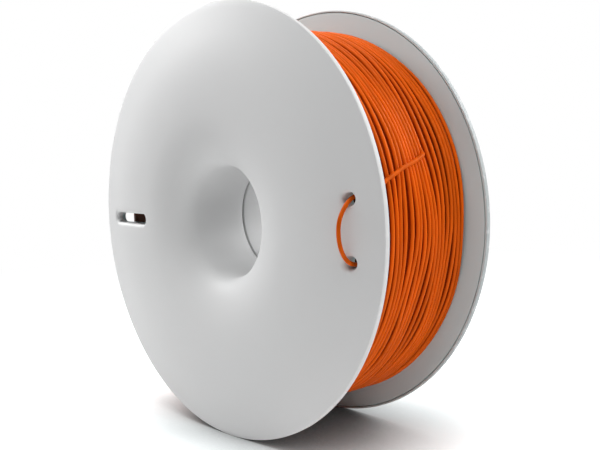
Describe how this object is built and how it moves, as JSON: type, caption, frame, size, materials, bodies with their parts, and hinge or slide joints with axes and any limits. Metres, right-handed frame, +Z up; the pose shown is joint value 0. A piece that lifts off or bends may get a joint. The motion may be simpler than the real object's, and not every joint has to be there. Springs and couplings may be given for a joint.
{
  "type": "filament spool",
  "caption": "Filament spool with domed cheeks that flare into the bore, a sight slot, end-holding holes and a full winding of filament.",
  "frame": {"origin": "on the bore's axis, midway between the two cheeks", "axes": "+Y along the bore from the front cheek, which has the slot and the holes, to the rear cheek; +Z up as the spool stands on its rims; the two holes lie towards +X"},
  "size_m": [0.2, 0.0841, 0.2],
  "materials": {
    "cheek_plastic": "satin moulded, light grey",
    "disc_plastic": "matt moulded, light grey",
    "filament": "extruded, semi-gloss orange"
  },
  "bodies": {
    "root": {"front_cheek_shell": "cheek_plastic", "rear_cheek_shell": "cheek_plastic", "front_inner_disc": "disc_plastic", "rear_inner_disc": "disc_plastic", "winding_drum": "disc_plastic", "filament_core": "filament", "filament_turns": "filament", "filament_tail": "filament"}
  },
  "joints": []
}
